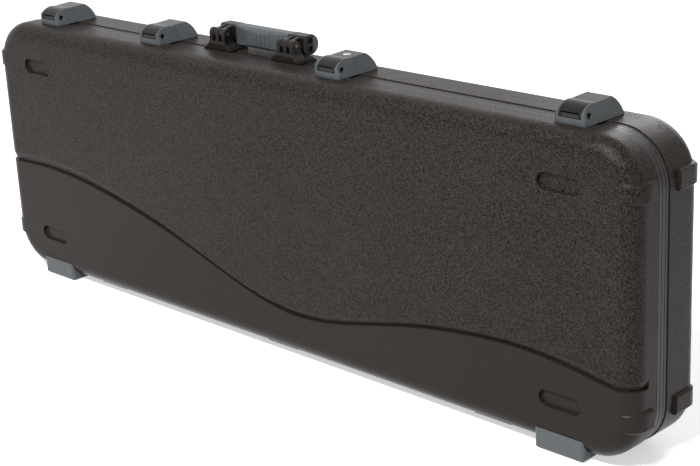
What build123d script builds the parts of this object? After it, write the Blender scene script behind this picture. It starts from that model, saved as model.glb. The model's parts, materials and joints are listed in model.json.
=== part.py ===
"""Moulded hard case for a bass guitar: two plastic shells that meet in a metal rim,
four trigger latches, a folding carrying handle, three hinges, four feet and padded
liners. It stands on its long edge. X runs along the case, -Y is the lid side, Z is up.
The origin is on the floor, under the middle of the case. All sizes are millimetres."""
import os
from math import cos, radians, sin

from build123d import *

os.makedirs("parts", exist_ok=True)
END_AT_ORIGIN = (Align.CENTER, Align.CENTER, Align.MIN)

# Overall case
CASE_LENGTH = 1270.0
CASE_HEIGHT = 414.0
CORNER_RADIUS = 68.0
LID_DEPTH = 49.9
BASE_DEPTH = 85.1
WALL = 3.0
LID_EDGE_RADIUS = 25.0
BASE_EDGE_RADIUS = 20.0
FOOT_HEIGHT = 8.0

# Metal rim between the shells
PARTING_GAP = 0.8
BAND_WIDTH = 20.0
BAND_INSET = 1.2
RIM_THICKNESS = 1.5
BAND_THICKNESS = 3.3
TONGUE_THICKNESS = 2.0
TONGUE_LENGTH = 5.6
GROOVE_CLEARANCE = 1.2
FLANGE_DEPTH = 15.0
WEB_SETBACK = 4.5
TONGUE_ENTRY = 2.0
RIM_LINES = (6.0, 13.0)
RIM_LINE_WIDTH = 1.0
RIM_LINE_DEPTH = 0.7
FIT = 0.2

# Lid styling
SLOT_LENGTH = 66.0
SLOT_HEIGHT = 23.0
SLOT_DEPTH = 5.0
SLOT_FROM_END = 110.0
SLOT_FROM_EDGE = 65.0
WAVE_DEPTH = 4.2
WAVE_RUN = 6.5
# Lower edge of the wave: distance along a case of WAVE_SPAN, and height above the floor.
# The distances stretch with the case.
WAVE_SPAN = 1270.0
WAVE_LINE = (
    (-560, 189), (-440, 183), (-305, 159), (-172, 125), (-70, 93), (0, 76), (66, 71),
    (150, 82), (260, 107), (370, 124), (470, 128.5), (550, 121),
)
# Height of the sloping band above that edge, at the same places
WAVE_BAND = (22, 22, 17, 7, 6, 9, 15.5, 15.5, 13.5, 13, 14, 17.5)
# The same pair, height and band, where the wave goes round each end
WAVE_END_LEFT = (187, 20)
WAVE_END_RIGHT = (112, 16)

# End bumpers
BUMPER_HEIGHT = 27.0
BUMPER_STAND = 4.5
BUMPER_FROM_EDGE = 62.0
BUMPER_ROOT = 32.0
BUMPER_SLOPE = 3.0
LID_BUMPER_STOP = 11.5
BASE_BUMPER_STOP = 16.0

# Feet
FOOT_LENGTH = 77.0
FOOT_FROM_END = 112.0
FOOT_WRAP = 29.0
FOOT_STAND = 1.0
FOOT_REACH = 43.0
FOOT_CORNER = 5.0
FOOT_CHAMFER = 2.5

# Latches. The outer two keep their distance from the ends of the case.
LATCH_FROM_END = 115.0
INNER_LATCH_X = (-267.0, 110.0)
LATCH_WIDTH = 51.0
LATCH_TOP_WIDTH = 36.0
LATCH_HEIGHT = 25.6
LATCH_FRONT = -38.5
LATCH_BACK = 36.0
LATCH_SPLIT = -1.5
CHANNEL = 33.6
LEVER_CLEARANCE = 0.4
LEVER_PIN_RADIUS = 2.0
TRIGGER_PIN_RADIUS = 1.5
LOCKING_LATCH = 3
NOSE_RISE = 15.0
NOSE_CORNER = 7.0
BONNET_Y = -11.0
BONNET_DROP = 1.3
CROWN_Y = 20.0
SPLIT_GAP = 0.25
SIDE_UPRIGHT = 1.5
PIN_REACH = 22.0
KEEPER_REACH = 21.0
LEVER_PIVOT_RISE = 5.6
LEVER_PIVOT_SETBACK = 5.0
LEVER_BARREL = 5.0
TRIGGER_PIVOT_Y = -29.5
TRIGGER_PIVOT_RISE = 11.8
TRIGGER_EAR_RADIUS = 4.2
TRIGGER_CLEARANCE = 0.4
KEEPER_Y = -27.0
KEEPER_RISE = 3.4
KEEPER_RADIUS = 1.8
LIP_HEIGHT = 8.2
LIP_THICKNESS = 4.0
COVER_EDGE_RISE = 15.8
COVER_THICKNESS = 2.4
COVER_LOW_EDGE = 12.0
RIB = 2.6
FLOOR_PLATE = 1.2
LOCK_Y = 3.0
LOCK_RADIUS = 5.5
LOCK_WALL = 2.0
LOCK_BOSS = 8.0

# Handle
HANDLE_X = -79.0
HANDLE_SPAN = 144.0
EAR_THICKNESS = 6.6
EAR_GAP = 6.4
EAR_RADIUS = 7.5
HANDLE_PIN_RADIUS = 2.5
HANDLE_PIN_Y = 4.0
HANDLE_PIN_RISE = 23.0
HANDLE_PIN_STAND = 0.6
BRACKET_LENGTH = 66.0
BRACKET_FRONT = -5.0
BRACKET_BACK = 30.0
BRACKET_CORNER = 6.0
SOLE_EDGE = 3.0
SOLE_RISE = 12.0
SWOOP = (4.0, 5.0)
BARREL_RELIEF = 2.5
ARM_FRONT = 15.0
ARM_BACK = 38.0
ARM_POCKET = 3.0
ARM_RIB_LOW = 17.5
ARM_RIB_HIGH = 21.5
FINGER_CLEARANCE = 0.3
CORE_FRONT = 26.0
CORE_BACK = 36.0
CORE_LOW = 13.0
CORE_HIGH = 27.0
GRIP_LOW = 5.6
GRIP_HIGH = 33.5
GRIP_BACK = 47.5
GRIP_SWELL = 3.0
GRIP_DROP = 2.6
GRIP_ROUND = 11.0
FINGER_GROOVES = 5
FINGER_PITCH = 9.0
FINGER_GROOVE = (2.2, 3.4, 18.0)

# Hinges. The outer two keep their distance from the ends of the case.
HINGE_FROM_END = 235.0
HINGE_LENGTH = 61.6
HINGE_PIN_RADIUS = 1.5
HINGE_KNUCKLE_RADIUS = 3.0
HINGE_LEAF = 1.5
HINGE_REACH = 28.0
LEAF_START = 2.0
KNUCKLE_PLAY = 0.2
KNUCKLE_RELIEF = 0.5
PIN_CLEARANCE = 0.05

# Padded liners
LINER_GAP = 0.3
LINER_WALL = 16.0
LID_PAD = 9.0
FLOOR_PAD = 10.0
LID_LINER_CUT = 7.0
BASE_LINER_CUT = 8.0
BODY_LENGTH = 520.0
BODY_WIDTH = 345.0
BODY_CORNER = 95.0
BODY_WALL = 24.6
NECK_WIDTH = 84.0
NECK_RAISE = 22.0
HEAD_LENGTH = 240.0
HEAD_WIDTH = 150.0
HEAD_CORNER = 20.0
POCKET_LENGTH = 300.0
POCKET_HEIGHT = 108.0
POCKET_CORNER = 14.0
POCKET_FROM_BODY = 60.0
POCKET_DROP = 118.0
REST_LENGTH = 80.0
REST_HEIGHT = 24.0
REST_FROM_HEAD = 118.6
CRADLE_RADIUS = 30.0
CRADLE_LIFT = 10.0

# Places worked out from the sizes above
CASE_DEPTH = LID_DEPTH + BASE_DEPTH
FRONT = -CASE_DEPTH / 2
BACK = CASE_DEPTH / 2
PART_Y = FRONT + LID_DEPTH
MID_Z = FOOT_HEIGHT + CASE_HEIGHT / 2
TOP_Z = FOOT_HEIGHT + CASE_HEIGHT
LID_RIM_Y = PART_Y - PARTING_GAP / 2
BAND_Y = PART_Y + PARTING_GAP / 2
BASE_RIM_Y = BAND_Y + BAND_WIDTH
HINGE_Z = FOOT_HEIGHT - HINGE_KNUCKLE_RADIUS - FIT
SLOT_X = CASE_LENGTH / 2 - SLOT_FROM_END
SLOT_Z = CASE_HEIGHT / 2 - SLOT_FROM_EDGE
BUMPER_Z = CASE_HEIGHT / 2 - BUMPER_FROM_EDGE
FOOT_X = CASE_LENGTH / 2 - FOOT_FROM_END
LATCH_X = (
    LATCH_FROM_END - CASE_LENGTH / 2, *INNER_LATCH_X, CASE_LENGTH / 2 - LATCH_FROM_END
)
HINGE_X = (HINGE_FROM_END - CASE_LENGTH / 2, 0.0, CASE_LENGTH / 2 - HINGE_FROM_END)
LEVER_PIVOT_Y = LATCH_BACK - LEVER_PIVOT_SETBACK
COVER_HALF = CHANNEL / 2 - LEVER_CLEARANCE
EAR_SPAN = 3 * EAR_THICKNESS + 2 * EAR_GAP

# Insets of the rim's walls, from the outside of the case inwards
FLANGE_OUT = WALL + FIT
FLANGE_IN = FLANGE_OUT + RIM_THICKNESS
BAND_IN = BAND_INSET + BAND_THICKNESS
TONGUE_OUT = BAND_IN + GROOVE_CLEARANCE
TONGUE_IN = TONGUE_OUT + TONGUE_THICKNESS
LIP_OUT = TONGUE_IN + GROOVE_CLEARANCE
LIP_IN = LIP_OUT + RIM_THICKNESS

# Rooms inside the base liner
BODY_X = LIP_IN + BODY_WALL + BODY_LENGTH / 2 - CASE_LENGTH / 2
NECK_END = CASE_LENGTH / 2 - LIP_IN - LINER_WALL
HEAD_START = NECK_END - HEAD_LENGTH
POCKET_X = BODY_X + BODY_LENGTH / 2 + POCKET_FROM_BODY + POCKET_LENGTH / 2
POCKET_Z = MID_Z - POCKET_DROP
REST_X = HEAD_START - REST_FROM_HEAD


def save(node, *solids):
    """Write one sub-part, made of one solid or of several like ones."""
    shape = solids[0] if len(solids) == 1 else Compound(children=list(solids))
    export_step(shape, f"parts/{node}.step")


def slab(inset, y0, y1):
    """Rounded block with the outline of the case, drawn in by inset, from y0 to y1."""
    outline = RectangleRounded(
        CASE_LENGTH - 2 * inset, CASE_HEIGHT - 2 * inset, CORNER_RADIUS - inset
    )
    return along_y(outline, 0, MID_Z, y0, y1)


def rounded_slab(inset, y0, y1, face_y, radius):
    """A slab whose edge at face_y is rounded."""
    block = slab(inset, y0, y1)
    rim = block.edges().filter_by_position(Axis.Y, face_y - 0.01, face_y + 0.01)
    return fillet(rim, radius)


def along_y(face, x, z, y0, y1):
    """Push a front-view face from y0 to y1, with its middle at x and z."""
    return Pos(x, y0, z) * (Rot(-90, 0, 0) * extrude(face, y1 - y0, dir=(0, 0, 1)))


def chamfered_slab(inset, y0, y1, face_y, cut):
    """A slab whose edge at face_y is cut at 45 degrees, for hidden inner forms."""
    block = slab(inset, y0, y1)
    return chamfer(block.edges().filter_by_position(Axis.Y, face_y - 0.01, face_y + 0.01), cut)


def box_between(x0, x1, y0, y1, z0, z1):
    """Plain block between two corners."""
    return Pos((x0 + x1) / 2, (y0 + y1) / 2, (z0 + z1) / 2) * Box(x1 - x0, y1 - y0, z1 - z0)


def along_x(face, x0, x1):
    """Push a side-view face, drawn in Y and Z, from x0 to x1."""
    return Pos(x0, 0, 0) * extrude(Plane.YZ * face, x1 - x0, dir=(1, 0, 0))


def rod(x0, x1, y, z, radius):
    """Round rod along X."""
    return Pos(x0, y, z) * (Rot(0, 90, 0) * Cylinder(radius, x1 - x0, align=END_AT_ORIGIN))


def upright(x, y, z0, z1, radius):
    """Round rod along Z."""
    return Pos(x, y, z0) * Cylinder(radius, z1 - z0, align=END_AT_ORIGIN)


def stadium(x, z, length, height, y0, y1):
    """Long round-ended block that lies along X, from y0 to y1."""
    return along_y(SlotOverall(length, height), x, z, y0, y1)


def bumpers(face_y, end_y, radius):
    """Raised pads that wrap round the short ends of a shell, near its corners."""
    half = BUMPER_HEIGHT / 2
    low, high = min(face_y, end_y), max(face_y, end_y)
    pads = []
    for side in (-1, 1):
        tip = side * (CASE_LENGTH / 2 + BUMPER_STAND)
        root = side * (CASE_LENGTH / 2 - BUMPER_ROOT)
        for level in (-BUMPER_Z, BUMPER_Z):
            z = MID_Z + level
            pad = box_between(min(root, tip), max(root, tip), low, high, z - half, z + half)
            corner = pad.edges().filter_by(Axis.Z).filter_by_position(Axis.X, tip - 0.1, tip + 0.1)
            pad = fillet(corner.filter_by_position(Axis.Y, face_y - 0.1, face_y + 0.1), radius + 1)
            rim = pad.faces().filter_by(Axis.Z).edges().filter_by_position(Axis.X, tip - 0.1, tip + 0.1)
            pads.append(chamfer(rim, BUMPER_SLOPE))
    return pads


def wave_section(x, y, out_x, out_y, height, band, depth, margins, start):
    """Triangle across the wave at one place on the skin, facing outwards."""
    plane = Plane(origin=(x, y, height), x_dir=(out_x, out_y, 0), z_dir=(out_y, -out_x, 0))
    top_margin, bottom_margin = margins
    corners = Polygon(
        (start, band + top_margin), (-depth, bottom_margin), (start, -bottom_margin - 0.6), align=None
    )
    return plane * corners


def wave_wedges(depth, margins, start):
    """Wedges along the wave: one over the lid's face and one round each end."""
    bend_x = CASE_LENGTH / 2 - LID_EDGE_RADIUS
    bend_y = FRONT + LID_EDGE_RADIUS
    ends = []
    corners = []
    for side, (height, band) in ((-1, WAVE_END_LEFT), (1, WAVE_END_RIGHT)):
        stations = [(side * CASE_LENGTH / 2, bend_y + WAVE_RUN, side, 0.0)]
        for angle in range(0, 91, 15):
            out_x, out_y = side * cos(radians(angle)), -sin(radians(angle))
            stations.append((
                side * bend_x + LID_EDGE_RADIUS * out_x, bend_y + LID_EDGE_RADIUS * out_y, out_x, out_y
            ))
        faces = [wave_section(*place, height, band, depth, margins, start) for place in stations]
        ends.append(loft(faces, ruled=True))
        corners.append(faces[-1])
    stretch = CASE_LENGTH / WAVE_SPAN
    face = [
        wave_section(x * stretch, FRONT, 0.0, -1.0, height, band, depth, margins, start)
        for (x, height), band in zip(WAVE_LINE, WAVE_BAND)
    ]
    return ends + [loft([corners[0]] + face + [corners[1]])]


def lid_shell():
    """Front shell: thin moulded wall with rounded edge, wave, slots and bumpers."""
    rim_y = LID_RIM_Y - RIM_THICKNESS - FIT
    outer = rounded_slab(0, FRONT, rim_y, FRONT, LID_EDGE_RADIUS)
    inner = chamfered_slab(WALL, FRONT + WALL, rim_y, FRONT + WALL, LID_EDGE_RADIUS - WALL)
    shell = outer - inner
    for pad in bumpers(FRONT, PART_Y - LID_BUMPER_STOP, LID_EDGE_RADIUS):
        shell += pad - inner
    for backing in wave_wedges(WAVE_DEPTH + WALL, (5, 4), -WALL / 2):
        shell += backing
    for groove in wave_wedges(WAVE_DEPTH, (0, 0), 2.0):
        shell -= groove
    for x in (-SLOT_X, SLOT_X):
        for level in (-SLOT_Z, SLOT_Z):
            z = MID_Z + level
            boss_y = FRONT + SLOT_DEPTH + WALL
            shell += stadium(x, z, SLOT_LENGTH + 2 * WALL, SLOT_HEIGHT + 2 * WALL, FRONT + WALL / 2, boss_y)
            shell -= stadium(x, z, SLOT_LENGTH, SLOT_HEIGHT, FRONT - 1, FRONT + SLOT_DEPTH)
    return shell


def base_shell():
    """Rear shell: deeper moulded wall with rounded back edge and bumpers."""
    outer = rounded_slab(0, BASE_RIM_Y + FIT, BACK, BACK, BASE_EDGE_RADIUS)
    inner = chamfered_slab(WALL, BASE_RIM_Y + FIT, BACK - WALL, BACK - WALL, BASE_EDGE_RADIUS - WALL)
    shell = outer - inner
    for pad in bumpers(BACK, BASE_RIM_Y + BASE_BUMPER_STOP, BASE_EDGE_RADIUS):
        shell += pad - inner
    return shell


def ring(outer_inset, inner_inset, y0, y1):
    """Closed frame that follows the outline of the case."""
    return slab(outer_inset, y0, y1) - slab(inner_inset, y0, y1)


def lid_valance():
    """Metal rim of the lid: edge plate, flange inside the shell and tongue."""
    plate_y = LID_RIM_Y - RIM_THICKNESS
    rim = ring(BAND_INSET, TONGUE_IN, plate_y, LID_RIM_Y)
    rim += ring(FLANGE_OUT, FLANGE_IN, plate_y - FLANGE_DEPTH, LID_RIM_Y)
    return rim + ring(TONGUE_OUT, TONGUE_IN, plate_y, PART_Y + TONGUE_LENGTH)


def base_valance():
    """Metal rim of the base: lined outer band, groove for the tongue and flange."""
    web_y = BASE_RIM_Y - WEB_SETBACK
    rim = ring(BAND_INSET, BAND_IN, BAND_Y, BASE_RIM_Y)
    rim += ring(BAND_IN - 0.5, LIP_IN, web_y, web_y + RIM_THICKNESS)
    rim += ring(LIP_OUT, LIP_IN, PART_Y + TONGUE_LENGTH - TONGUE_ENTRY, web_y + RIM_THICKNESS)
    rim += ring(FLANGE_OUT, FLANGE_IN, web_y, BASE_RIM_Y + FLANGE_DEPTH)
    for setback in RIM_LINES:
        line_y = BAND_Y + setback
        rim -= ring(BAND_INSET - 1, BAND_INSET + RIM_LINE_DEPTH, line_y, line_y + RIM_LINE_WIDTH)
    return rim


def foot(x, front_sign):
    """Foot that wraps the lower edge of a shell, with its flat sole on the floor."""
    face_y = front_sign * (CASE_DEPTH / 2 + FOOT_STAND)
    inner_y = front_sign * (CASE_DEPTH / 2 - FOOT_REACH)
    block = box_between(
        x - FOOT_LENGTH / 2, x + FOOT_LENGTH / 2, min(face_y, inner_y), max(face_y, inner_y), 0, FOOT_WRAP
    )
    corners = block.edges().filter_by(Axis.Z).filter_by_position(Axis.Y, face_y - 1, face_y + 1)
    block = fillet(corners, FOOT_CORNER)
    low_front = block.edges().filter_by(Axis.X).filter_by_position(Axis.Z, -0.01, 0.01)
    block = chamfer(low_front.filter_by_position(Axis.Y, face_y - 0.01, face_y + 0.01), FOOT_CHAMFER)
    seat_radius = LID_EDGE_RADIUS if front_sign < 0 else BASE_EDGE_RADIUS
    end_y = front_sign * (CASE_DEPTH / 2 + FIT / 2)
    open_y = -front_sign * 5
    seat = rounded_slab(-FIT / 2, min(end_y, open_y), max(end_y, open_y), end_y, seat_radius)
    return block - seat


def lid_liner():
    """Padded tray inside the lid."""
    back = LID_RIM_Y - RIM_THICKNESS - 1
    front = FRONT + WALL + SLOT_DEPTH + LINER_GAP + 0.2
    inset = TONGUE_IN + LINER_GAP
    # A thicker wall brings the back of the wave in from the face and from the end
    tray = chamfered_slab(inset, front, back, front, 2 * WALL + LID_LINER_CUT)
    hollow = slab(inset + LINER_WALL, front + LID_PAD, back)
    return tray - hollow


def bass_cavity(depth_y):
    """Room for the instrument: body, neck and headstock, open towards the lid."""
    body_face = RectangleRounded(BODY_LENGTH, BODY_WIDTH, BODY_CORNER)
    body = along_y(body_face, BODY_X, MID_Z, PART_Y, depth_y)
    half = NECK_WIDTH / 2
    neck_stop = NECK_END - HEAD_CORNER
    neck = box_between(BODY_X, neck_stop, PART_Y, depth_y - NECK_RAISE, MID_Z - half, MID_Z + half)
    head_face = RectangleRounded(HEAD_LENGTH, HEAD_WIDTH, HEAD_CORNER)
    head = along_y(head_face, HEAD_START + HEAD_LENGTH / 2, MID_Z, PART_Y, depth_y)
    return [body, neck, head]


def base_liner():
    """Padded bed in the base, shaped to the instrument, with an accessory pocket."""
    front = PART_Y + TONGUE_LENGTH - 1
    back = BACK - WALL - LINER_GAP
    inset = LIP_IN + LINER_GAP
    bed = chamfered_slab(inset, front, back, back, WALL + BASE_LINER_CUT)
    floor = back - FLOOR_PAD
    for hollow in bass_cavity(floor):
        bed -= hollow
    pocket = RectangleRounded(POCKET_LENGTH, POCKET_HEIGHT, POCKET_CORNER)
    return bed - along_y(pocket, POCKET_X, POCKET_Z, front - 1, floor)


def neck_rest():
    """Padded block that cradles the neck near the headstock."""
    floor = BACK - WALL - LINER_GAP - FLOOR_PAD - NECK_RAISE
    start, stop = REST_X - REST_LENGTH / 2, REST_X + REST_LENGTH / 2
    half = NECK_WIDTH / 2 - LINER_GAP
    top = floor - REST_HEIGHT
    block = box_between(start, stop, top, floor - LINER_GAP, MID_Z - half, MID_Z + half)
    cradle = Pos(top - CRADLE_LIFT, MID_Z) * Circle(CRADLE_RADIUS)
    return block - along_x(cradle, start - 1, stop + 1)


def hinge_knuckles(x, ours):
    """Ends of the knuckles that one leaf has, out of the three along the hinge."""
    step = HINGE_LENGTH / 3
    left = x - HINGE_LENGTH / 2
    return [(left + i * step + KNUCKLE_PLAY, left + (i + 1) * step - KNUCKLE_PLAY) for i in ours]


def hinge_leaf(x, side, ours):
    """One hinge leaf: plate under the case and its knuckles round the pin."""
    top = FOOT_HEIGHT - FIT / 2
    near = PART_Y + side * LEAF_START
    far = PART_Y + side * (HINGE_KNUCKLE_RADIUS + HINGE_REACH)
    leaf = box_between(
        x - HINGE_LENGTH / 2, x + HINGE_LENGTH / 2, min(near, far), max(near, far), top - HINGE_LEAF, top
    )
    others = [i for i in range(3) if i not in ours]
    for x0, x1 in hinge_knuckles(x, others):
        gap = 2 * KNUCKLE_PLAY
        leaf -= rod(x0 - gap, x1 + gap, PART_Y, HINGE_Z, HINGE_KNUCKLE_RADIUS + KNUCKLE_RELIEF)
    for x0, x1 in hinge_knuckles(x, ours):
        leaf += rod(x0, x1, PART_Y, HINGE_Z, HINGE_KNUCKLE_RADIUS)
    leaf -= rod(x - HINGE_LENGTH, x + HINGE_LENGTH, PART_Y, HINGE_Z, HINGE_PIN_RADIUS + PIN_CLEARANCE)
    return leaf


def hinge_pin(x):
    """Pin through the three knuckles."""
    return rod(x - HINGE_LENGTH / 2, x + HINGE_LENGTH / 2, PART_Y, HINGE_Z, HINGE_PIN_RADIUS)


def latch_side_face():
    """Side view of a latch: upright nose, rising bonnet, flat top and rounded tail."""
    z = TOP_Z
    nose_top = (LATCH_FRONT, z + NOSE_RISE)
    bonnet = (BONNET_Y, z + LATCH_HEIGHT - BONNET_DROP)
    crown = (CROWN_Y, z + LATCH_HEIGHT)
    tail = (LATCH_BACK, z + LEVER_PIVOT_RISE - 1)
    outline = Curve() + [
        Line((LATCH_FRONT, z), nose_top),
        ThreePointArc(nose_top, (-31, z + 21.6), bonnet),
        Line(bonnet, crown),
        ThreePointArc(crown, (31, z + 16), tail),
        Line(tail, (LATCH_BACK, z)),
        Line((LATCH_BACK, z), (LATCH_FRONT, z)),
    ]
    return make_face(outline)


def latch_block(x):
    """Whole outer form of a latch, with sides that lean in towards the top."""
    block = along_x(latch_side_face(), x - LATCH_WIDTH / 2, x + LATCH_WIDTH / 2)
    nose = block.edges().filter_by(Axis.Z)
    block = fillet(nose.filter_by_position(Axis.Y, LATCH_FRONT - 0.1, LATCH_FRONT + 0.1), NOSE_CORNER)
    low, high = LATCH_WIDTH / 2, LATCH_TOP_WIDTH / 2
    lean = make_face(Polyline(
        (-low, 0), (low, 0), (low, SIDE_UPRIGHT), (high, LATCH_HEIGHT + 1),
        (-high, LATCH_HEIGHT + 1), (-low, SIDE_UPRIGHT), close=True,
    ))
    length = LATCH_BACK - LATCH_FRONT + 2
    return block & Pos(x, LATCH_FRONT - 1, TOP_Z) * (Rot(90, 0, 0) * extrude(lean, length, dir=(0, 0, -1)))


def keeper_housing(x):
    """Grey front half of a latch on the lid: two cheeks and a low front lip."""
    z = TOP_Z
    half = CHANNEL / 2
    left, right = x - LATCH_WIDTH, x + LATCH_WIDTH
    seat_y = LID_RIM_Y - RIM_THICKNESS
    front_half = box_between(left, right, LATCH_FRONT - 2, LATCH_SPLIT - SPLIT_GAP, z - 1, z + 40)
    body = latch_block(x) & front_half
    body -= box_between(x - half, x + half, LATCH_FRONT + LIP_THICKNESS, 40, z + FLOOR_PLATE, z + 40)
    body -= box_between(x - half, x + half, LATCH_FRONT - 1, 40, z + LIP_HEIGHT, z + 40)
    body -= box_between(left, right, seat_y, 40, z - 1, z + 0.7)
    body -= box_between(x - half, x + half, seat_y, 40, z - 1, z + 2)
    body -= rod(left, right, TRIGGER_PIVOT_Y, z + TRIGGER_PIVOT_RISE, TRIGGER_EAR_RADIUS)
    bore = KEEPER_RADIUS + PIN_CLEARANCE
    return body - rod(x - KEEPER_REACH, x + KEEPER_REACH, KEEPER_Y, z + KEEPER_RISE, bore)


def keeper_rod(x):
    """Steel rod between the cheeks that the trigger's hook holds."""
    return rod(x - KEEPER_REACH, x + KEEPER_REACH, KEEPER_Y, TOP_Z + KEEPER_RISE, KEEPER_RADIUS)


def latch_base(x):
    """Grey rear half of a latch on the base: two cheeks on a floor plate."""
    z = TOP_Z
    half = CHANNEL / 2
    left, right = x - LATCH_WIDTH, x + LATCH_WIDTH
    rear_half = box_between(left, right, LATCH_SPLIT + SPLIT_GAP, LATCH_BACK + 2, z - 1, z + 40)
    body = latch_block(x) & rear_half
    body -= box_between(x - half, x + half, -10, 50, z + FLOOR_PLATE, z + 40)
    body -= box_between(x - half, x + half, LEVER_PIVOT_Y - 8, 50, z - 1, z + 40)
    bore = LEVER_PIN_RADIUS + PIN_CLEARANCE
    return body - rod(x - PIN_REACH, x + PIN_REACH, LEVER_PIVOT_Y, z + LEVER_PIVOT_RISE, bore)


def lever_pin(x):
    """Pin that the latch lever turns on."""
    pivot_z = TOP_Z + LEVER_PIVOT_RISE
    return rod(x - PIN_REACH, x + PIN_REACH, LEVER_PIVOT_Y, pivot_z, LEVER_PIN_RADIUS)


def latch_cover(x, locking):
    """Black lever over the latch: thin skin, two side ribs and a rear barrel."""
    z = TOP_Z
    pivot_z = z + LEVER_PIVOT_RISE
    trigger_z = z + TRIGGER_PIVOT_RISE
    side = latch_side_face()
    skin = side - offset(side, -COVER_THICKNESS)
    keep = make_face(Polyline(
        (-60, z + COVER_EDGE_RISE), (-60, z + 60), (60, z + 60), (60, pivot_z),
        (LEVER_PIVOT_Y, pivot_z), (LEVER_PIVOT_Y - 8, z + COVER_LOW_EDGE), (0, z + COVER_LOW_EDGE),
        (-20, z + COVER_EDGE_RISE), close=True,
    ))
    half = COVER_HALF
    lever = along_x(skin & keep, x - half, x + half)
    rib = side & make_face(Polyline(
        (LATCH_FRONT, z + COVER_EDGE_RISE), (LATCH_FRONT + 1.2, z + 9.2),
        (TRIGGER_PIVOT_Y + 3.5, z + 8.6), (TRIGGER_PIVOT_Y + 7, z + 14), (8, z + COVER_LOW_EDGE),
        (LEVER_PIVOT_Y - 6, z + 3), (LEVER_PIVOT_Y, pivot_z),
        (60, pivot_z), (60, z + 60), (-60, z + 60), (-60, z + COVER_EDGE_RISE), close=True,
    ))
    lever += along_x(rib, x - half, x - half + RIB)
    lever += along_x(rib, x + half - RIB, x + half)
    lever += rod(x - half, x + half, LEVER_PIVOT_Y, pivot_z, LEVER_BARREL)
    across = LATCH_WIDTH
    lever -= rod(x - across, x + across, LEVER_PIVOT_Y, pivot_z, LEVER_PIN_RADIUS + PIN_CLEARANCE)
    lever -= rod(x - across, x + across, TRIGGER_PIVOT_Y, trigger_z, TRIGGER_PIN_RADIUS + PIN_CLEARANCE)
    if locking:
        top = z + LATCH_HEIGHT
        lever += upright(x, LOCK_Y, top - LOCK_BOSS, top - 1, LOCK_RADIUS + LOCK_WALL)
        lever -= upright(x, LOCK_Y, top - 12, top + 40, LOCK_RADIUS + PIN_CLEARANCE)
    return lever


def lock_cylinder(x):
    """Key cylinder in the cover of the locking latch, with its key slot and cam."""
    z = TOP_Z + LATCH_HEIGHT
    plug = upright(x, LOCK_Y, z - 11, z - 0.6, LOCK_RADIUS)
    plug += box_between(x - 2.5, x + 2.5, LOCK_Y - 10, LOCK_Y, z - 12.5, z - 10.5)
    return plug - box_between(x - 3.4, x + 3.4, LOCK_Y - 0.8, LOCK_Y + 0.8, z - 4, z + 2)


def latch_trigger(x):
    """Spring-loaded trigger in the nose of a lever: finger bar and short hook."""
    z = TOP_Z
    outline = make_face(Polyline(
        (LATCH_FRONT + 0.9, z + 8.9), (LATCH_FRONT + 0.9, z + 13.6), (LATCH_FRONT + 2.5, z + 14.2),
        (TRIGGER_PIVOT_Y + 1, z + 15.2), (TRIGGER_PIVOT_Y + 3.2, z + 12), (TRIGGER_PIVOT_Y + 5.2, z + 9.6),
        (TRIGGER_PIVOT_Y + 5.2, z + 7.2), (TRIGGER_PIVOT_Y + 0.5, z + 7.2), (TRIGGER_PIVOT_Y - 1.5, z + 8.9),
        close=True,
    ))
    half = COVER_HALF - RIB - TRIGGER_CLEARANCE
    bar = along_x(outline, x - half, x + half)
    bore = TRIGGER_PIN_RADIUS + PIN_CLEARANCE
    return bar - rod(x - half - 1, x + half + 1, TRIGGER_PIVOT_Y, z + TRIGGER_PIVOT_RISE, bore)


def trigger_pin(x):
    """Pin that carries the trigger between the lever's ribs."""
    pivot_z = TOP_Z + TRIGGER_PIVOT_RISE
    return rod(x - COVER_HALF, x + COVER_HALF, TRIGGER_PIVOT_Y, pivot_z, TRIGGER_PIN_RADIUS)


def ear_starts(x):
    """Left faces of the three ears of one bracket."""
    return [x - EAR_SPAN / 2 + i * (EAR_THICKNESS + EAR_GAP) for i in range(3)]


def bracket_sole(x):
    """Low foot of a bracket that sweeps up to the ears."""
    depth = BRACKET_BACK - BRACKET_FRONT
    half, foot = EAR_SPAN / 2, BRACKET_LENGTH / 2
    swoop_x, swoop_z = SWOOP
    swoop = make_face(Curve() + [
        Line((-foot, 0), (foot, 0)),
        Line((foot, 0), (foot, SOLE_EDGE)),
        ThreePointArc((foot, SOLE_EDGE), (half + swoop_x, swoop_z), (half, SOLE_RISE)),
        Line((half, SOLE_RISE), (-half, SOLE_RISE)),
        ThreePointArc((-half, SOLE_RISE), (-half - swoop_x, swoop_z), (-foot, SOLE_EDGE)),
        Line((-foot, SOLE_EDGE), (-foot, 0)),
    ])
    sweep = Pos(x, BRACKET_FRONT, TOP_Z) * (Rot(90, 0, 0) * extrude(swoop, depth, dir=(0, 0, -1)))
    outline = RectangleRounded(BRACKET_LENGTH, depth, BRACKET_CORNER)
    plan = Pos(x, (BRACKET_FRONT + BRACKET_BACK) / 2, TOP_Z) * outline
    return extrude(plan, SOLE_RISE + 2, dir=(0, 0, 1)) & sweep


def ear_face():
    """Side view of an ear, round at the pin and wider at its root."""
    front, rear = HANDLE_PIN_Y - EAR_RADIUS, HANDLE_PIN_Y + EAR_RADIUS
    root_z, pin_z = TOP_Z + 6, TOP_Z + HANDLE_PIN_RISE
    return make_face(Curve() + [
        Line((front, root_z), (front, pin_z)),
        ThreePointArc((front, pin_z), (HANDLE_PIN_Y, pin_z + EAR_RADIUS), (rear, pin_z)),
        Line((rear, pin_z), (rear + 3, root_z)),
        Line((rear + 3, root_z), (front, root_z)),
    ])


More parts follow.
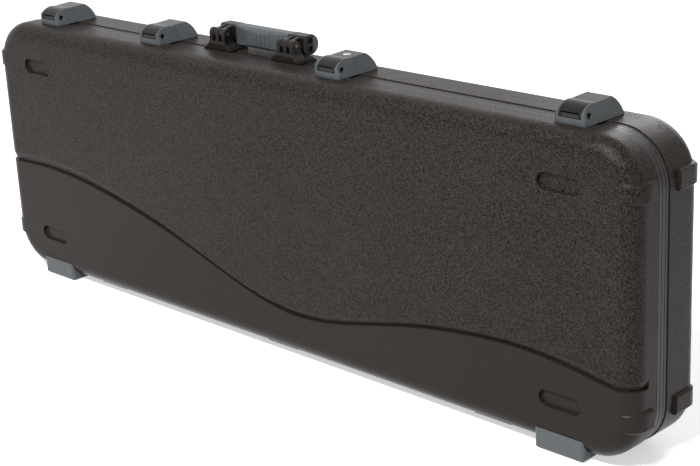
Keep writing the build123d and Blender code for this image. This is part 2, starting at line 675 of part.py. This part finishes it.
def handle_bracket(x):
    """Bracket on the case top: sloped foot and three ears for the handle's pin."""
    z = TOP_Z
    pin_z = z + HANDLE_PIN_RISE
    left, right = x - BRACKET_LENGTH, x + BRACKET_LENGTH
    bracket = bracket_sole(x)
    slope = make_face(Polyline(
        (BRACKET_FRONT - 1, z + 5), (HANDLE_PIN_Y - EAR_RADIUS, z + 13),
        (BRACKET_FRONT - 1, z + 13), close=True,
    ))
    bracket -= along_x(slope, left, right)
    for start in ear_starts(x):
        bracket += along_x(ear_face(), start, start + EAR_THICKNESS)
    for start in ear_starts(x)[:2]:
        gap = start + EAR_THICKNESS
        bracket -= rod(gap, gap + EAR_GAP, HANDLE_PIN_Y, pin_z, EAR_RADIUS + BARREL_RELIEF)
    bracket -= rod(left, right, HANDLE_PIN_Y, pin_z, HANDLE_PIN_RADIUS + PIN_CLEARANCE)
    room_for_arm = box_between(left, right, ARM_FRONT - 1, 60, z + GRIP_LOW - 1, z + 60)
    return bracket - room_for_arm


def arm_block_face():
    """Side view of the tall end block of the handle."""
    low, high = TOP_Z + GRIP_LOW, TOP_Z + GRIP_HIGH
    front = ARM_FRONT + 4
    return make_face(Curve() + [
        Line((front, high - 4), (front, low + 6)),
        ThreePointArc((front, low + 6), (front + 2, low + 1.8), (front + 6, low)),
        Line((front + 6, low), (ARM_BACK, low)),
        Line((ARM_BACK, low), (ARM_BACK, high)),
        Line((ARM_BACK, high), (front + 4, high)),
        ThreePointArc((front + 4, high), (front + 1.2, high - 1.2), (front, high - 4)),
    ])


def handle_arm(x):
    """One forked arm with its end block, two barrels on the pin and shallow side pockets."""
    z = TOP_Z
    pin_z = z + HANDLE_PIN_RISE
    barrel = EAR_RADIUS - 0.5
    root_y = ARM_FRONT + 6
    finger_face = make_face(Polyline(
        (HANDLE_PIN_Y, pin_z + barrel), (root_y, z + GRIP_HIGH - 1.5), (root_y, z + GRIP_LOW + 6),
        (HANDLE_PIN_Y, pin_z - barrel), close=True,
    ))
    arm = along_x(arm_block_face(), x - EAR_SPAN / 2, x + EAR_SPAN / 2)
    for start in ear_starts(x)[:2]:
        x0 = start + EAR_THICKNESS + FINGER_CLEARANCE
        x1 = start + EAR_THICKNESS + EAR_GAP - FINGER_CLEARANCE
        arm += along_x(finger_face, x0, x1)
        arm += rod(x0, x1, HANDLE_PIN_Y, pin_z, barrel)
    bore = HANDLE_PIN_RADIUS + PIN_CLEARANCE
    arm -= rod(x - EAR_SPAN, x + EAR_SPAN, HANDLE_PIN_Y, pin_z, bore)
    for side in (-1, 1):
        floor_x = x + side * (EAR_SPAN / 2 - ARM_POCKET)
        open_x = x + side * (EAR_SPAN / 2 + 1)
        x0, x1 = min(floor_x, open_x), max(floor_x, open_x)
        for low, high in ((GRIP_LOW + 4, ARM_RIB_LOW), (ARM_RIB_HIGH, GRIP_HIGH - 4)):
            arm -= box_between(x0, x1, ARM_FRONT + 8, ARM_BACK - ARM_POCKET, z + low, z + high)
    return arm


def handle_frame():
    """Stiff frame of the handle: two arms and the bar inside the grip."""
    inner = HANDLE_SPAN / 2 - EAR_SPAN / 2 + 1
    left, right = (handle_arm(HANDLE_X + side * HANDLE_SPAN / 2) for side in (-1, 1))
    core = box_between(
        HANDLE_X - inner, HANDLE_X + inner, CORE_FRONT, CORE_BACK, TOP_Z + CORE_LOW, TOP_Z + CORE_HIGH
    )
    return left + right + core


def grip_section(swell, drop):
    """Rounded section of the grip, deeper where the fingers go."""
    z = TOP_Z
    front_y = ARM_FRONT + 5 - swell
    round_y = front_y + 7.5
    back_y = GRIP_BACK - GRIP_ROUND
    low, high = z + GRIP_LOW - drop, z + GRIP_HIGH
    return make_face(Curve() + [
        Line((front_y, high - 7.5), (front_y, low + 7)),
        ThreePointArc((front_y, low + 7), (front_y + 2.2, low + 2), (round_y, low)),
        Line((round_y, low), (back_y, low)),
        ThreePointArc((back_y, low), (GRIP_BACK, z + 19.5), (back_y, high)),
        Line((back_y, high), (round_y, high)),
        ThreePointArc((round_y, high), (front_y + 2.2, high - 2.2), (front_y, high - 7.5)),
    ])


def grip_sleeve(inner):
    """Part of the grip between the arms, swelling forwards and down in the middle."""
    z = TOP_Z
    front_y, low_z = ARM_FRONT + 5, z + GRIP_LOW
    sleeve = along_x(grip_section(GRIP_SWELL, GRIP_DROP), HANDLE_X - inner, HANDLE_X + inner)
    from_above = make_face(Curve() + [
        ThreePointArc((-inner, front_y), (0, front_y - GRIP_SWELL), (inner, front_y)),
        Line((inner, front_y), (inner, 60)),
        Line((inner, 60), (-inner, 60)),
        Line((-inner, 60), (-inner, front_y)),
    ])
    sleeve &= Pos(HANDLE_X, 0, z - 5) * extrude(from_above, 60, dir=(0, 0, 1))
    from_front = make_face(Curve() + [
        ThreePointArc((-inner, low_z), (0, low_z - GRIP_DROP), (inner, low_z)),
        Line((inner, low_z), (inner, z + 60)),
        Line((inner, z + 60), (-inner, z + 60)),
        Line((-inner, z + 60), (-inner, low_z)),
    ])
    return sleeve & Pos(HANDLE_X, 0, 0) * (Rot(90, 0, 0) * extrude(from_front, 70, dir=(0, 0, -1)))


def handle_grip():
    """Soft grip over the bar, with finger grooves and ends that close round the frame."""
    z = TOP_Z
    outer = HANDLE_SPAN / 2 + EAR_SPAN / 2
    left, right = HANDLE_X - outer, HANDLE_X + outer
    grip = grip_sleeve(HANDLE_SPAN / 2 - EAR_SPAN / 2 - FIT)
    tail = along_x(grip_section(0, 0), left, right)
    grip += tail & box_between(left, right, ARM_BACK + FIT, 60, z, z + 60)
    grip -= box_between(
        left, right, CORE_FRONT - FIT, CORE_BACK + FIT, z + CORE_LOW - FIT, z + CORE_HIGH + FIT
    )
    for i in range(FINGER_GROOVES):
        x = HANDLE_X + (i - (FINGER_GROOVES - 1) / 2) * FINGER_PITCH
        grip -= Pos(x, ARM_FRONT + 1, z + 16) * Box(*FINGER_GROOVE)
    return grip


def handle_pin(x):
    """Pin through the ears of one bracket and the fingers of one arm."""
    reach = EAR_SPAN / 2 + HANDLE_PIN_STAND
    return rod(x - reach, x + reach, HANDLE_PIN_Y, TOP_Z + HANDLE_PIN_RISE, HANDLE_PIN_RADIUS)


def build():
    """Write every sub-part. Like fasteners on one carrier share a file."""
    save("lid_shell", lid_shell())
    save("base_shell", base_shell())
    save("lid_valance", lid_valance())
    save("base_valance", base_valance())
    save("lid_liner", lid_liner())
    save("base_liner", base_liner())
    save("neck_rest", neck_rest())
    for name, side in (("left", -1), ("right", 1)):
        save(f"lid_foot_{name}", foot(side * FOOT_X, -1))
        save(f"base_foot_{name}", foot(side * FOOT_X, 1))
    for number, x in enumerate(HINGE_X, 1):
        save(f"hinge_base_leaf_{number}", hinge_leaf(x, 1, (0, 2)))
        save(f"hinge_lid_leaf_{number}", hinge_leaf(x, -1, (1,)))
    save("hinge_pins", *[hinge_pin(x) for x in HINGE_X])
    save("keeper_rods", *[keeper_rod(x) for x in LATCH_X])
    save("latch_pivot_pins", *[lever_pin(x) for x in LATCH_X])
    for number, x in enumerate(LATCH_X, 1):
        save(f"latch_keeper_{number}", keeper_housing(x))
        save(f"latch_base_{number}", latch_base(x))
        save(f"latch_cover_{number}", latch_cover(x, number == LOCKING_LATCH))
        save(f"latch_trigger_{number}", latch_trigger(x))
        save(f"trigger_pin_{number}", trigger_pin(x))
    save("lock_cylinder", lock_cylinder(LATCH_X[LOCKING_LATCH - 1]))
    for name, side in (("left", -1), ("right", 1)):
        x = HANDLE_X + side * HANDLE_SPAN / 2
        save(f"handle_bracket_{name}", handle_bracket(x))
        save(f"handle_pin_{name}", handle_pin(x))
    save("handle_frame", handle_frame())
    save("handle_grip", handle_grip())


if __name__ == "__main__":
    build()
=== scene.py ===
"""Looks of the moulded bass guitar case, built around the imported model. Metres, the frame's own axes."""
import json
from math import cos, pi, radians, sin

import bmesh
import bpy
from mathutils import Matrix, Vector, noise


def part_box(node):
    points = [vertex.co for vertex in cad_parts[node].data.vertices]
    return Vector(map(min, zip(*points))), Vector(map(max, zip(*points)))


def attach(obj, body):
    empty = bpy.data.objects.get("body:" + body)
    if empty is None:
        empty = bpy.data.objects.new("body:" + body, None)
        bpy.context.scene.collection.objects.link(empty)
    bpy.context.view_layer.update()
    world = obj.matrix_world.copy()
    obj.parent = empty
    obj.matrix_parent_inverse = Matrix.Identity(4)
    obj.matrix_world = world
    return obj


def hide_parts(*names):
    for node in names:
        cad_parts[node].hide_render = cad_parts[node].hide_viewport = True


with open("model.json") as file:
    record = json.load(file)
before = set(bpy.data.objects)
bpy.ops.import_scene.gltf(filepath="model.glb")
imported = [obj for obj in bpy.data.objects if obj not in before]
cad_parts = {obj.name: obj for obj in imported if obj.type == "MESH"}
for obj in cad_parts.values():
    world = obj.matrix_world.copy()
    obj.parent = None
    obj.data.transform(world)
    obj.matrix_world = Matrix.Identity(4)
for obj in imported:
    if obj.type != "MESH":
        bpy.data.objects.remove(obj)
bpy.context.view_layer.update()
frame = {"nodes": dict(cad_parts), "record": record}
NODES = frame["nodes"]

# Camera, solved from the edges of the case in the photograph
CAMERA_AZIMUTH = 45.38
CAMERA_ELEVATION = 19.12
CAMERA_ROLL = -2.88
CAMERA_DISTANCE = 2.372
CAMERA_TARGET = (0.102, 0.0, 0.188)
CAMERA_LENS = 86.3
CAMERA_REACH = 100.0
SENSOR_WIDTH = 36.0

# Light: each lamp has its place, its width and height, and its watts
WORLD_LEVEL = 0.35
WHITE = (1.0, 1.0, 1.0, 1.0)
LAMP_AIM = (0.0, 0.0, 0.2)
LAMPS = {
    "overhead": ((0.5, -2.0, 2.8), (1.8, 0.16), 145.0),
    "behind": ((-0.3, 2.6, 1.3), (1.6, 0.8), 30.0),
}

# Floor, just under the feet
FLOOR_COLOUR = (0.86, 0.86, 0.86, 1.0)
FLOOR_GLOW = 0.55
FLOOR_ROUGHNESS = 0.9
FLOOR_HALF = 9.0
FLOOR_DROP = 0.0005

# Limits between which noise is spread to a full change of tone or of gloss
TONE_ENDS = (0.3, 0.7)
GLOSS_ENDS = (0.2, 0.8)
EDGE_SAMPLES = 6

# Shell mouldings
GRAIN_CELL = 0.0011
GRAIN_DEPTH = 0.0004
GRAIN_CONTRAST = 1.6
GRAIN_BUMP = 0.5
GRAIN_BELOW_WAVE = 0.12
EDGE_RADIUS = 0.0011
SHELL_DARK = (0.002, 0.0014, 0.0012)
SHELL_LIGHT = (0.037, 0.0292, 0.026)
SHELL_CLOUDS = 5.0
SHELL_CLOUD_TONE = 0.05
SHELL_RUB = 40.0
SHELL_ROUGHNESS = (0.25, 0.33)
SHELL_SPECULAR = 0.09
WAVE_LINE = (
    (-0.61, 0.187), (-0.56, 0.189), (-0.44, 0.183), (-0.305, 0.159), (-0.172, 0.125), (-0.07, 0.093),
    (0.0, 0.076), (0.066, 0.071), (0.15, 0.082), (0.26, 0.107), (0.37, 0.124), (0.47, 0.1285),
    (0.55, 0.121), (0.61, 0.112),
)
WAVE_SPAN = 0.64
WAVE_TOP = 0.2
WAVE_FADE = 0.008

# Satin mouldings and castings
SATIN_CLOUDS = 55.0
SATIN_RUB = 260.0
SATIN_GLOSSIER = 0.05
SATIN_DULLER = 0.06
SATIN_GRAIN = 0.0006
SATIN_GRAIN_DEPTH = 0.0002
SATIN_BUMP = 0.12
SATIN_EDGE = 0.0007

# Rim extrusion
RIM_DARK = (0.014, 0.0115, 0.0105)
RIM_LIGHT = (0.02, 0.017, 0.0158)
RIM_CLOUDS = 90.0
RIM_ROUGHNESS = (0.3, 0.38)
RIM_GRAIN = 1500.0
RIM_GRAIN_DEPTH = 0.0002
RIM_BUMP = 0.1
RIM_EDGE = 0.0008
RIM_SPECULAR = 0.25

# Bright metal
SCRATCH_STRETCH = (1.0, 12.0, 12.0)
SCRATCH_SCALE = 300.0
SCRATCH_TONE = 0.85
SCRATCH_DULLER = 0.12
SCRATCH_DEPTH = 0.0001
SCRATCH_BUMP = 0.05
SCRATCH_EDGE = 0.0003

# Plush, its pile and its padding
PLUSH_DARK = (0.01, 0.01, 0.012)
PLUSH_LIGHT = (0.036, 0.036, 0.04)
PLUSH_TUFTS = 900.0
PLUSH_TUFT_SHARE = 0.85
PLUSH_TUFT_DEPTH = 0.0012
PLUSH_BUMP = 0.8
PLUSH_PATCHES = 26.0
PLUSH_ROUGHNESS = (0.86, 0.97)
PLUSH_VOXEL = 0.005
PLUSH_RELAX = 0.5
PLUSH_ROUNDING = 14
PLUSH_WAVER = 0.0007
WAVER_WIDE = 28.0
WAVER_FINE = 70.0

# Hinge screws, seated on the underside of the leaves
SCREW_RADIUS = 0.0031
SCREW_DOME = 0.0011
SCREW_RINGS = 4
SCREW_SIDES = 16
SCREWS_PER_LEAF = 3
SCREW_FROM_EDGE = 0.012
LEAF_THICKNESS = 0.0015
LEAF_NUMBERS = (1, 2, 3)

# Edges sharper than this many degrees stay sharp
NODE_SHARP = 30
SCREW_SHARP = 40


class Graph:
    """Short way to make the nodes of one material."""

    def __init__(self, name):
        self.material = bpy.data.materials.new(name)
        self.material.use_nodes = True
        self.tree = self.material.node_tree
        self.shader = self.tree.nodes["Principled BSDF"]
        self.place = self.node("ShaderNodeTexCoord").outputs["Object"]

    def node(self, kind, inputs=None, **settings):
        made = self.tree.nodes.new(kind)
        for key, value in settings.items():
            setattr(made, key, value)
        for key, value in (inputs or {}).items():
            if isinstance(value, bpy.types.NodeSocket):
                self.tree.links.new(value, made.inputs[key])
            else:
                made.inputs[key].default_value = value
        return made

    def link(self, value, socket):
        self.tree.links.new(value, self.shader.inputs[socket])

    def set(self, **values):
        for key, value in values.items():
            self.shader.inputs[key.replace("_", " ")].default_value = value

    def noise(self, scale, detail=2.0, rough=0.5):
        return self.node("ShaderNodeTexNoise", {
            "Vector": self.place, "Scale": scale, "Detail": detail, "Roughness": rough
        }).outputs["Fac"]

    def math(self, operation, a, b=0.0, c=0.0):
        return self.node("ShaderNodeMath", {0: a, 1: b, 2: c}, operation=operation).outputs[0]

    def spread(self, value, low, high, to_low=0.0, to_high=1.0):
        return self.node("ShaderNodeMapRange", {
            "Value": value, "From Min": low, "From Max": high, "To Min": to_low, "To Max": to_high
        }).outputs["Result"]

    def between(self, amount, first, second):
        mix = self.node("ShaderNodeMix", data_type="RGBA")
        self.tree.links.new(amount, mix.inputs["Factor"])
        mix.inputs["A"].default_value = (*first, 1.0)
        mix.inputs["B"].default_value = (*second, 1.0)
        return mix.outputs["Result"]

    def bump(self, height, strength, distance, under=None):
        inputs = {"Height": height, "Strength": strength, "Distance": distance}
        if under is not None:
            inputs["Normal"] = under
        return self.node("ShaderNodeBump", inputs).outputs["Normal"]

    def soft_edges(self, radius):
        return self.node("ShaderNodeBevel", {"Radius": radius}, samples=EDGE_SAMPLES).outputs["Normal"]


def above_wave(graph):
    """1 above the wave that is moulded across the lid, 0 below it."""
    axes = graph.node("ShaderNodeSeparateXYZ", {"Vector": graph.place})
    across = graph.spread(axes.outputs["X"], -WAVE_SPAN, WAVE_SPAN)
    line = graph.node("ShaderNodeFloatCurve", {"Value": across})
    points = line.mapping.curves[0].points
    wanted = [((x + WAVE_SPAN) / (2 * WAVE_SPAN), z / WAVE_TOP) for x, z in WAVE_LINE]
    points[0].location, points[1].location = (0.0, wanted[0][1]), (1.0, wanted[-1][1])
    for place in wanted:
        points.new(*place)
    line.mapping.update()
    height = graph.math("MULTIPLY", line.outputs[0], WAVE_TOP)
    over = graph.math("SUBTRACT", axes.outputs["Z"], height)
    return graph.spread(over, 0.0, WAVE_FADE)


def shell_plastic():
    """Moulded near-black plastic: speckled grain above the wave, almost smooth below it."""
    graph = Graph("shell_moulding")
    amount = graph.spread(above_wave(graph), 0.0, 1.0, GRAIN_BELOW_WAVE, 1.0)
    cells = graph.node("ShaderNodeTexVoronoi", {"Vector": graph.place, "Scale": 1 / GRAIN_CELL})
    speck = graph.node("ShaderNodeSeparateColor", {"Color": cells.outputs["Color"]}).outputs[0]
    grain = graph.math("MULTIPLY", graph.spread(speck, 0.0, 1.0, -0.5, 0.5), amount)
    pebbles = graph.math("MULTIPLY", graph.spread(cells.outputs["Distance"], 0.0, 1.0, 1.0, 0.0), amount)
    clouds = graph.spread(graph.noise(SHELL_CLOUDS, 3.0), *TONE_ENDS, -SHELL_CLOUD_TONE, SHELL_CLOUD_TONE)
    tone = graph.math("ADD", graph.math("MULTIPLY_ADD", grain, GRAIN_CONTRAST, 0.5), clouds)
    graph.link(graph.between(tone, SHELL_DARK, SHELL_LIGHT), "Base Color")
    dull = graph.spread(graph.noise(SHELL_RUB, 3.0), *GLOSS_ENDS, *SHELL_ROUGHNESS)
    graph.link(dull, "Roughness")
    graph.link(graph.bump(pebbles, GRAIN_BUMP, GRAIN_DEPTH, graph.soft_edges(EDGE_RADIUS)), "Normal")
    graph.set(Specular_IOR_Level=SHELL_SPECULAR)
    return graph.material


def satin(name, dark, light, roughness, metallic=0.0, specular=0.35):
    """Satin moulding or casting: two close tones, a very fine grain and softened edges."""
    graph = Graph(name)
    clouds = graph.noise(SATIN_CLOUDS, 3.0)
    graph.link(graph.between(graph.spread(clouds, *TONE_ENDS), dark, light), "Base Color")
    rub = graph.noise(SATIN_RUB, 4.0, 0.65)
    dull = graph.spread(rub, *GLOSS_ENDS, roughness - SATIN_GLOSSIER, roughness + SATIN_DULLER)
    graph.link(dull, "Roughness")
    fine = graph.noise(1 / SATIN_GRAIN, 2.0, 0.5)
    graph.link(graph.bump(fine, SATIN_BUMP, SATIN_GRAIN_DEPTH, graph.soft_edges(SATIN_EDGE)), "Normal")
    graph.set(Metallic=metallic, Specular_IOR_Level=specular)
    return graph.material


def rim_metal():
    """Black anodised extrusion with a faint change of tone and gloss."""
    graph = Graph("rim_extrusion")
    clouds = graph.noise(RIM_CLOUDS, 3.0)
    graph.link(graph.between(graph.spread(clouds, *TONE_ENDS), RIM_DARK, RIM_LIGHT), "Base Color")
    graph.link(graph.spread(clouds, *GLOSS_ENDS, *RIM_ROUGHNESS), "Roughness")
    fine = graph.noise(RIM_GRAIN)
    graph.link(graph.bump(fine, RIM_BUMP, RIM_GRAIN_DEPTH, graph.soft_edges(RIM_EDGE)), "Normal")
    graph.set(Specular_IOR_Level=RIM_SPECULAR)
    return graph.material


def plush_cloth():
    """Short dark pile: fuzzy surface with tufts that lie in patches."""
    graph = Graph("plush_pile")
    tufts = graph.noise(PLUSH_TUFTS, 4.0, 0.7)
    patches = graph.noise(PLUSH_PATCHES, 3.0)
    tuft_tone = graph.math("MULTIPLY", tufts, PLUSH_TUFT_SHARE)
    patch_tone = graph.math("MULTIPLY", patches, 1 - PLUSH_TUFT_SHARE)
    tone = graph.math("ADD", tuft_tone, patch_tone)
    graph.link(graph.between(graph.spread(tone, *TONE_ENDS), PLUSH_DARK, PLUSH_LIGHT), "Base Color")
    graph.link(graph.spread(patches, *GLOSS_ENDS, *PLUSH_ROUGHNESS), "Roughness")
    graph.link(graph.bump(tufts, PLUSH_BUMP, PLUSH_TUFT_DEPTH), "Normal")
    graph.set(Sheen_Weight=0.5, Sheen_Roughness=0.45, Specular_IOR_Level=0.2)
    return graph.material


def polished(name, level, roughness):
    """Bright metal of one grey level with fine scratches."""
    graph = Graph(name)
    stretched = graph.node("ShaderNodeMapping", {"Vector": graph.place, "Scale": SCRATCH_STRETCH})
    scratches = graph.node("ShaderNodeTexNoise", {
        "Vector": stretched.outputs[0], "Scale": SCRATCH_SCALE, "Detail": 3.0
    }).outputs["Fac"]
    tone = (level, level, level)
    darker = tuple(c * SCRATCH_TONE for c in tone)
    graph.link(graph.between(scratches, darker, tone), "Base Color")
    graph.link(graph.spread(scratches, *GLOSS_ENDS, roughness, roughness + SCRATCH_DULLER), "Roughness")
    edges = graph.soft_edges(SCRATCH_EDGE)
    graph.link(graph.bump(scratches, SCRATCH_BUMP, SCRATCH_DEPTH, edges), "Normal")
    graph.set(Metallic=1.0)
    return graph.material


MATERIALS = {
    "shell_plastic": shell_plastic(),
    "rim_metal": rim_metal(),
    "plush": plush_cloth(),
    "foot_rubber": satin("foot_moulding", (0.064, 0.074, 0.08), (0.076, 0.086, 0.092), 0.45),
    "grey_plastic": satin("latch_casting", (0.049, 0.056, 0.061), (0.061, 0.069, 0.074), 0.32),
    "lever_plastic": satin(
        "lever_moulding", (0.006, 0.0055, 0.0052), (0.01, 0.0092, 0.0088), 0.22, specular=0.22
    ),
    "trigger_metal": satin(
        "trigger_coating", (0.008, 0.008, 0.008), (0.013, 0.0125, 0.012), 0.26, specular=0.25
    ),
    "grip_rubber": satin("grip_moulding", (0.05, 0.058, 0.064), (0.062, 0.07, 0.077), 0.38),
    "handle_plastic": satin(
        "handle_moulding", (0.008, 0.0062, 0.0052), (0.0125, 0.01, 0.0084), 0.34, specular=0.2
    ),
    "dark_steel": satin(
        "painted_steel", (0.012, 0.012, 0.012), (0.018, 0.0175, 0.017), 0.35, metallic=0.3
    ),
    "lock_chrome": polished("lock_plating", 0.82, 0.12),
    "pin_steel": polished("pin_steel", 0.13, 0.38),
}


def dress(piece, slot_name):
    """Give a piece the material of its slot."""
    piece.data.materials.clear()
    piece.data.materials.append(MATERIALS[slot_name])


def smooth_shading(piece):
    """Smooth the round faces and keep the real edges sharp."""
    piece.data.shade_smooth()
    piece.data.set_sharp_from_angle(angle=radians(NODE_SHARP))


def finish_nodes():
    """Material and shading of every node that stays as the frame has it."""
    for row in frame["record"]["subparts"]:
        piece = NODES[row["node"]]
        dress(piece, row["material_slot"])
        smooth_shading(piece)


def new_piece(name, mesh, body, slot_name):
    """Link a new mesh piece that rides on a body."""
    piece = bpy.data.objects.new(name, mesh)
    bpy.context.scene.collection.objects.link(piece)
    mesh.materials.clear()
    mesh.materials.append(MATERIALS[slot_name])
    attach(piece, body)
    return piece


def applied(piece):
    """Mesh of a piece with its modifiers applied."""
    graph = bpy.context.evaluated_depsgraph_get()
    return bpy.data.meshes.new_from_object(piece.evaluated_get(graph))


def plush_piece(node, name, body):
    """Soft padded form in the space of a node: rounded edges and a slight waver."""
    worked = bpy.data.objects.new(name + "_work", NODES[node].data.copy())
    bpy.context.scene.collection.objects.link(worked)
    remesh = worked.modifiers.new("remesh", "REMESH")
    remesh.mode = "VOXEL"
    remesh.voxel_size = PLUSH_VOXEL
    relax = worked.modifiers.new("relax", "SMOOTH")
    relax.factor = PLUSH_RELAX
    relax.iterations = PLUSH_ROUNDING
    mesh = applied(worked)
    bpy.data.objects.remove(worked)
    mesh.name = name
    normals = [normal.vector.copy() for normal in mesh.vertex_normals]
    for vertex, normal in zip(mesh.vertices, normals):
        waver = noise.noise(vertex.co * WAVER_WIDE) + 0.5 * noise.noise(vertex.co * WAVER_FINE)
        vertex.co += normal * (PLUSH_WAVER * (waver - 1.0))
    mesh.shade_smooth()
    piece = new_piece(name, mesh, body, "plush")
    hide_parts(node)


def screw_head(bm, centre, radius, dome):
    """Plain domed head that faces down."""
    levels = []
    for ring in range(SCREW_RINGS):
        spread = radius * cos(ring / SCREW_RINGS * pi / 2)
        drop = dome * sin(ring / SCREW_RINGS * pi / 2)
        levels.append([
            bm.verts.new(centre + Vector((spread * cos(a), spread * sin(a), -drop)))
            for a in (2 * pi * i / SCREW_SIDES for i in range(SCREW_SIDES))
        ])
    for low, high in zip(levels, levels[1:]):
        for i in range(SCREW_SIDES):
            j = (i + 1) % SCREW_SIDES
            bm.faces.new((low[i], high[i], high[j], low[j]))
    bm.faces.new(levels[0])
    bm.faces.new(list(reversed(levels[-1])))


def hinge_screws(name, body, side):
    """Rows of screws that hold the hinge leaves of one shell."""
    bm = bmesh.new()
    for number in LEAF_NUMBERS:
        low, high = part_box(f"hinge_{body}_leaf_{number}")
        edge_y = high.y if side > 0 else low.y
        y = edge_y - side * SCREW_FROM_EDGE
        span = high.x - low.x
        for i in range(SCREWS_PER_LEAF):
            x = low.x + span * (i + 0.5) / SCREWS_PER_LEAF
            screw_head(bm, Vector((x, y, high.z - LEAF_THICKNESS)), SCREW_RADIUS, SCREW_DOME)
    bmesh.ops.recalc_face_normals(bm, faces=bm.faces)
    mesh = bpy.data.meshes.new(name)
    bm.to_mesh(mesh)
    bm.free()
    mesh.shade_smooth()
    mesh.set_sharp_from_angle(angle=radians(SCREW_SHARP))
    new_piece(name, mesh, body, "dark_steel")


def make_camera():
    """Camera at the photograph's place, with its small roll."""
    az, el, roll = radians(CAMERA_AZIMUTH), radians(CAMERA_ELEVATION), radians(CAMERA_ROLL)
    back = Vector((sin(az) * cos(el), -cos(az) * cos(el), sin(el)))
    right = Vector((0, 0, 1)).cross(back).normalized()
    up = back.cross(right)
    rolled_right = right * cos(roll) + up * sin(roll)
    rolled_up = up * cos(roll) - right * sin(roll)
    data = bpy.data.cameras.new("camera")
    data.lens = CAMERA_LENS
    data.sensor_width = SENSOR_WIDTH
    data.clip_end = CAMERA_REACH
    camera = bpy.data.objects.new("camera", data)
    bpy.context.scene.collection.objects.link(camera)
    place = Vector(CAMERA_TARGET) + back * CAMERA_DISTANCE
    axes = Matrix((rolled_right, rolled_up, back)).transposed().to_4x4()
    camera.matrix_world = Matrix.Translation(place) @ axes
    bpy.context.scene.camera = camera


def area_light(name, place, size, watts):
    """Soft rectangular lamp that faces the aim point."""
    data = bpy.data.lights.new(name, "AREA")
    data.shape = "RECTANGLE"
    data.size, data.size_y = size
    data.energy = watts
    lamp = bpy.data.objects.new(name, data)
    bpy.context.scene.collection.objects.link(lamp)
    lamp.location = place
    lamp.rotation_euler = (Vector(LAMP_AIM) - Vector(place)).to_track_quat("-Z", "Y").to_euler()


def seen_directly(tree):
    """1 for rays that show the background: camera, glossy and transmission rays."""
    path = tree.nodes.new("ShaderNodeLightPath")
    total = path.outputs["Is Camera Ray"]
    for name in ("Is Glossy Ray", "Is Transmission Ray"):
        add = tree.nodes.new("ShaderNodeMath")
        add.operation = "MAXIMUM"
        tree.links.new(total, add.inputs[0])
        tree.links.new(path.outputs[name], add.inputs[1])
        total = add.outputs[0]
    return total


def make_world():
    """White to the eye, and a plain soft light to the object."""
    world = bpy.data.worlds.new("studio")
    bpy.context.scene.world = world
    world.use_nodes = True
    tree = world.node_tree
    level = tree.nodes.new("ShaderNodeMapRange")
    level.inputs["To Min"].default_value = WORLD_LEVEL
    level.inputs["To Max"].default_value = 1.0
    tree.links.new(seen_directly(tree), level.inputs["Value"])
    background = tree.nodes["Background"]
    background.inputs["Color"].default_value = WHITE
    tree.links.new(level.outputs["Result"], background.inputs["Strength"])


def make_floor():
    """Pale floor that shows white and keeps the shadow."""
    half = FLOOR_HALF
    mesh = bpy.data.meshes.new("floor")
    corners = [(-half, -half, 0), (half, -half, 0), (half, half, 0), (-half, half, 0)]
    mesh.from_pydata(corners, [], [(0, 1, 2, 3)])
    floor = bpy.data.objects.new("floor", mesh)
    floor.location.z = -FLOOR_DROP
    bpy.context.scene.collection.objects.link(floor)
    material = bpy.data.materials.new("pale_floor")
    material.use_nodes = True
    tree = material.node_tree
    shader = tree.nodes["Principled BSDF"]
    shader.inputs["Base Color"].default_value = FLOOR_COLOUR
    shader.inputs["Roughness"].default_value = FLOOR_ROUGHNESS
    shader.inputs["Specular IOR Level"].default_value = 0.0
    shader.inputs["Emission Color"].default_value = WHITE
    glow = tree.nodes.new("ShaderNodeMath")
    glow.operation = "MULTIPLY"
    glow.inputs[1].default_value = FLOOR_GLOW
    tree.links.new(seen_directly(tree), glow.inputs[0])
    tree.links.new(glow.outputs[0], shader.inputs["Emission Strength"])
    mesh.materials.append(material)


finish_nodes()
plush_piece("lid_liner", "lid_plush", "lid")
plush_piece("base_liner", "base_plush", "base")
plush_piece("neck_rest", "neck_cushion", "base")
hinge_screws("hinge_screws_base", "base", 1)
hinge_screws("hinge_screws_lid", "lid", -1)

make_camera()
make_world()
make_floor()
for lamp_name, (lamp_place, lamp_size, lamp_watts) in LAMPS.items():
    area_light(lamp_name, lamp_place, lamp_size, lamp_watts)
bpy.context.scene.view_settings.view_transform = "Standard"
